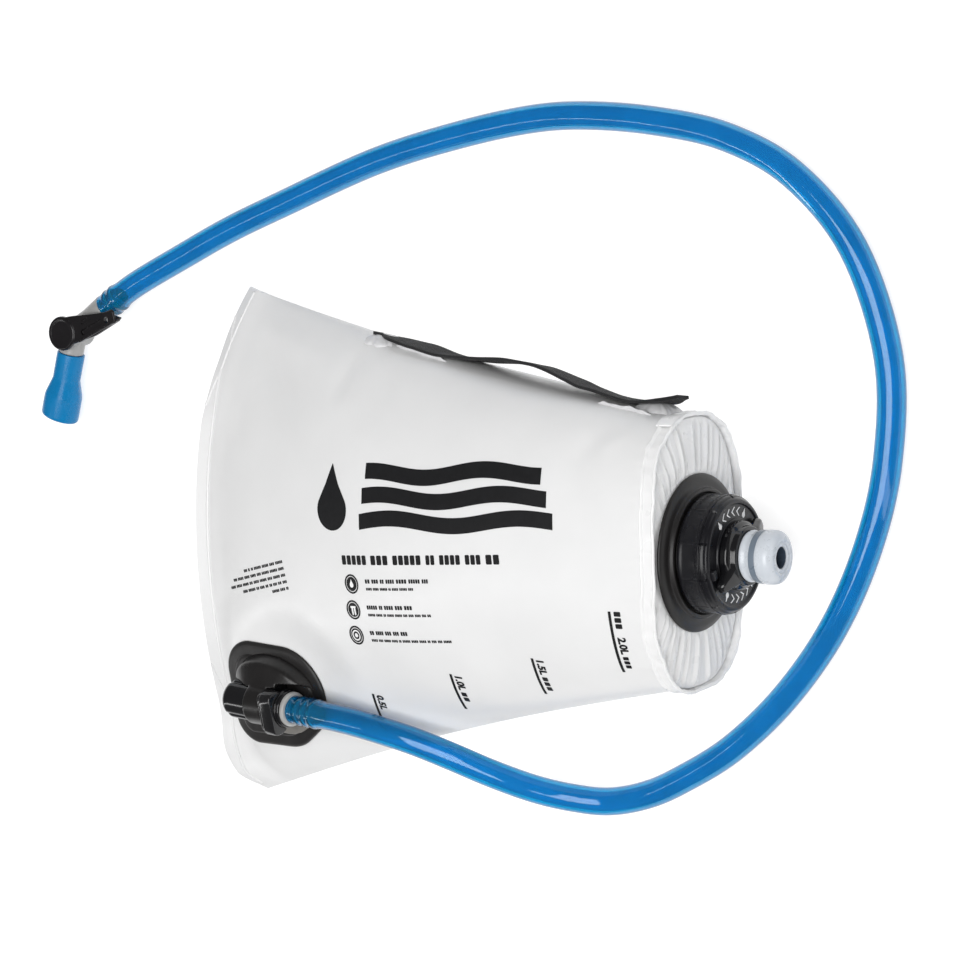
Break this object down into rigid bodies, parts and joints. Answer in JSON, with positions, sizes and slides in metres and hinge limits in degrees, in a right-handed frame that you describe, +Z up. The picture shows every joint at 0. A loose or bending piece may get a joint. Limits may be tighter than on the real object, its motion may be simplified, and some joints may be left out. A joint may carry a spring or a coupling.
{
  "type": "hydration bladder",
  "caption": "Tapered film drinking reservoir with a screw cap and twist spout, a carry strap, and a quick-release hose ending in an elbow bite valve with a shut-off lever.",
  "frame": {"origin": "on the bag's flat underside, under the cap's axis, 126 mm from the end gusset", "axes": "+X along the bag from the bottom seam towards the cap, +Y towards the carry strap, +Z up from the floor through the printed front"},
  "size_m": [0.4353, 0.2963, 0.0681],
  "materials": {
    "film": "translucent white bag film, satin",
    "film_weld": "white weld band, satin",
    "port_plastic": "matte black moulding",
    "cap_plastic": "satin black moulding",
    "gloss_black": "glossy black moulding",
    "lever_plastic": "semi-gloss black moulding",
    "valve_plastic": "pale grey moulding",
    "ring_plastic": "pale grey ring",
    "band_plastic": "grey band",
    "elbow_plastic": "pale translucent moulding",
    "seal_silicone": "soft grey seal",
    "seal_rubber": "black seal rubber",
    "spout_silicone": "frosted translucent silicone",
    "bite_silicone": "translucent blue silicone",
    "hose_tpu": "clear blue hose",
    "spring_steel": "stainless wire",
    "webbing": "black woven webbing"
  },
  "bodies": {
    "bag": {"front_panel": "film", "back_panel": "film", "end_gusset": "film", "gusset_rim": "film_weld", "cap_port": "port_plastic", "carry_strap": "webbing", "strap_patch_front": "film_weld", "strap_patch_rear": "film_weld", "port_flange": "port_plastic", "port_housing": "port_plastic", "button_spring": "spring_steel", "poppet_spring": "spring_steel"},
    "gasket": {"cap_gasket": "seal_silicone"},
    "cap": {"cap_shell": "cap_plastic", "valve_seat": "valve_plastic", "valve_oring": "seal_rubber"},
    "rotor": {"valve_rotor": "cap_plastic", "spout": "spout_silicone", "spout_band": "band_plastic"},
    "button": {"release_button": "gloss_black"},
    "latch": {"latch_plate": "port_plastic"},
    "poppet": {"port_poppet": "valve_plastic", "poppet_seal": "seal_rubber"},
    "hose": {"hose_connector": "gloss_black", "connector_ring": "ring_plastic", "connector_oring": "seal_rubber", "hose_tube": "hose_tpu", "elbow_body": "elbow_plastic", "bite_valve": "bite_silicone"},
    "lever": {"shutoff_lever": "lever_plastic", "shutoff_barrel": "lever_plastic", "barrel_orings": "seal_rubber"}
  },
  "joints": [
    {"name": "cap_rise", "type": "slide", "parent": "bag", "child": "gasket", "axis": [1, 0, 0], "range_m": [0, 0.009]},
    {"name": "cap_turn", "type": "hinge", "parent": "gasket", "child": "cap", "pos_m": [0.126, 0, 0.034], "axis": [1, 0, 0], "range_deg": [0, 540]},
    {"name": "spout_turn", "type": "hinge", "parent": "cap", "child": "rotor", "pos_m": [0.15, 0, 0.034], "axis": [1, 0, 0], "range_deg": [0, 65]},
    {"name": "button_press", "type": "slide", "parent": "bag", "child": "button", "axis": [0.9938, -0.0497, 0.0994], "range_m": [0, 0.0025], "stiffness_N_per_m": 800, "deforming": ["button_spring"]},
    {"name": "latch_lift", "type": "slide", "parent": "bag", "child": "latch", "axis": [-0.1084, -0.2368, 0.9655], "range_m": [0, 0.001]},
    {"name": "hose_release", "type": "slide", "parent": "bag", "child": "hose", "axis": [0.9938, -0.0497, 0.0994], "range_m": [0, 0.01]},
    {"name": "poppet_travel", "type": "slide", "parent": "bag", "child": "poppet", "axis": [0.9938, -0.0497, 0.0994], "range_m": [0, 0.0012], "deforming": ["poppet_spring"]},
    {"name": "shutoff_turn", "type": "hinge", "parent": "hose", "child": "lever", "pos_m": [-0.21091, 0.07849, 0.0087], "axis": [0, 0, 1], "range_deg": [0, 90]}
  ],
  "couplings": [
    {"joint": "cap_turn", "follows": "cap_rise", "rad_per_m": 1047.2},
    {"joint": "latch_lift", "follows": "button_press", "ratio": 0.4},
    {"joint": "poppet_travel", "follows": "hose_release", "ratio": 0.12}
  ]
}
